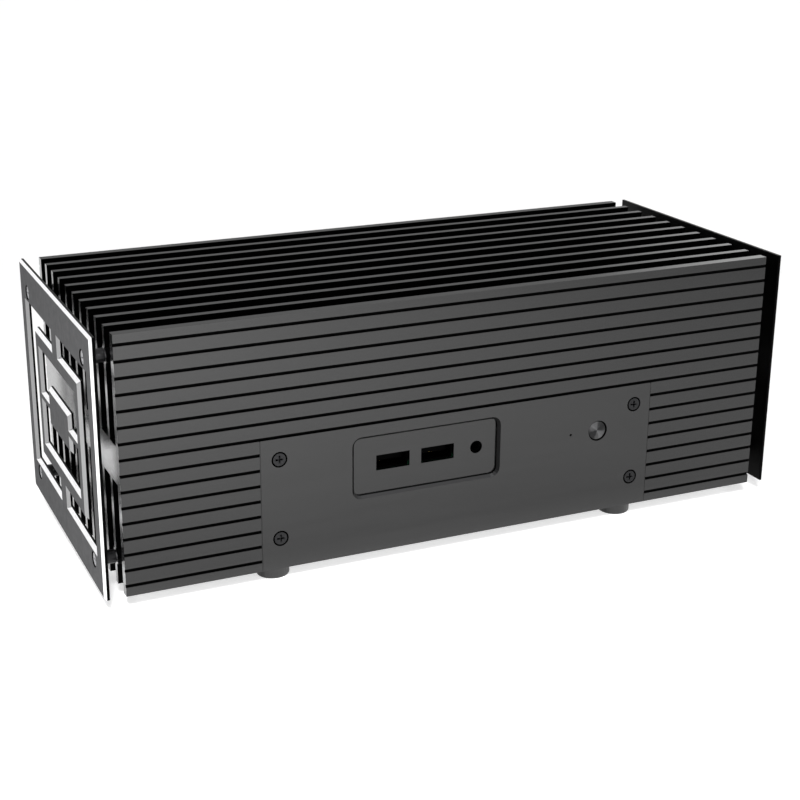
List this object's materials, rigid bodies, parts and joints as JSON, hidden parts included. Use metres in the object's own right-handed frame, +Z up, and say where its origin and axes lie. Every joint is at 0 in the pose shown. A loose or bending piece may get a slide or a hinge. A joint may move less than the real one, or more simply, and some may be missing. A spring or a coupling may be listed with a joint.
{
  "type": "mini pc",
  "caption": "Fanless mini computer: a finned aluminium body cools a small board, with a port panel and press button in front and cut-out end plates on standoffs.",
  "frame": {"origin": "bottom centre of the bounding box, level with the undersides of the rubber feet", "axes": "+X along the fins, towards the right end seen from the front; -Y is the front with the ports and button; +Z up"},
  "size_m": [0.2766, 0.1134, 0.101],
  "materials": {
    "anodised_black": "black anodised, fine brushed grain",
    "bare_aluminium": "milled, uncoated",
    "black_plastic": "moulded, fine grain",
    "black_rubber": "matt, moulded",
    "blackened_steel": "black oxide, satin",
    "circuit_laminate": "green solder mask",
    "clear_lens": "clear, moulded",
    "plated_steel": "nickel plated",
    "spun_aluminium": "grey anodised, spun in fine rings"
  },
  "bodies": {
    "chassis": {"audio_jack": "black_plastic", "board_tray": "blackened_steel", "button_board": "circuit_laminate", "button_lead": "black_plastic", "foot_screw_1": "plated_steel", "foot_screw_2": "plated_steel", "foot_screw_3": "plated_steel", "foot_screw_4": "plated_steel", "front_panel": "anodised_black", "front_panel_screw_1": "blackened_steel", "front_panel_screw_2": "blackened_steel", "front_panel_screw_3": "blackened_steel", "front_panel_screw_4": "blackened_steel", "front_port_shield": "anodised_black", "front_usb_port_1": "blackened_steel", "front_usb_port_2": "blackened_steel", "heat_block": "bare_aluminium", "left_end_plate": "anodised_black", "left_end_screw_1": "blackened_steel", "left_end_screw_2": "blackened_steel", "left_end_screw_3": "blackened_steel", "left_end_screw_4": "blackened_steel", "left_standoff_1": "blackened_steel", "left_standoff_2": "blackened_steel", "left_standoff_3": "blackened_steel", "left_standoff_4": "blackened_steel", "main_heatsink": "anodised_black", "memory_module": "circuit_laminate", "memory_socket": "black_plastic", "motherboard": "circuit_laminate", "processor": "black_plastic", "rear_network_port": "plated_steel", "rear_panel": "anodised_black", "rear_panel_screw_1": "blackened_steel", "rear_panel_screw_2": "blackened_steel", "rear_panel_screw_3": "blackened_steel", "rear_panel_screw_4": "blackened_steel", "rear_port_shield": "anodised_black", "rear_power_jack": "black_plastic", "rear_usb_port": "plated_steel", "rear_video_port": "plated_steel", "right_end_plate": "anodised_black", "right_end_screw_1": "blackened_steel", "right_end_screw_2": "blackened_steel", "right_end_screw_3": "blackened_steel", "right_end_screw_4": "blackened_steel", "right_standoff_1": "blackened_steel", "right_standoff_2": "blackened_steel", "right_standoff_3": "blackened_steel", "right_standoff_4": "blackened_steel", "rubber_foot_1": "black_rubber", "rubber_foot_2": "black_rubber", "rubber_foot_3": "black_rubber", "rubber_foot_4": "black_rubber", "status_light": "clear_lens", "storage_card": "circuit_laminate", "tact_switch": "black_plastic", "wireless_card": "circuit_laminate"},
    "button": {"power_button": "spun_aluminium", "switch_plunger": "black_plastic"}
  },
  "joints": [
    {"name": "power_button_press", "type": "slide", "parent": "chassis", "child": "button", "axis": [0, 1, 0], "range_m": [0, 0.0006], "stiffness_N_per_m": 1500}
  ]
}
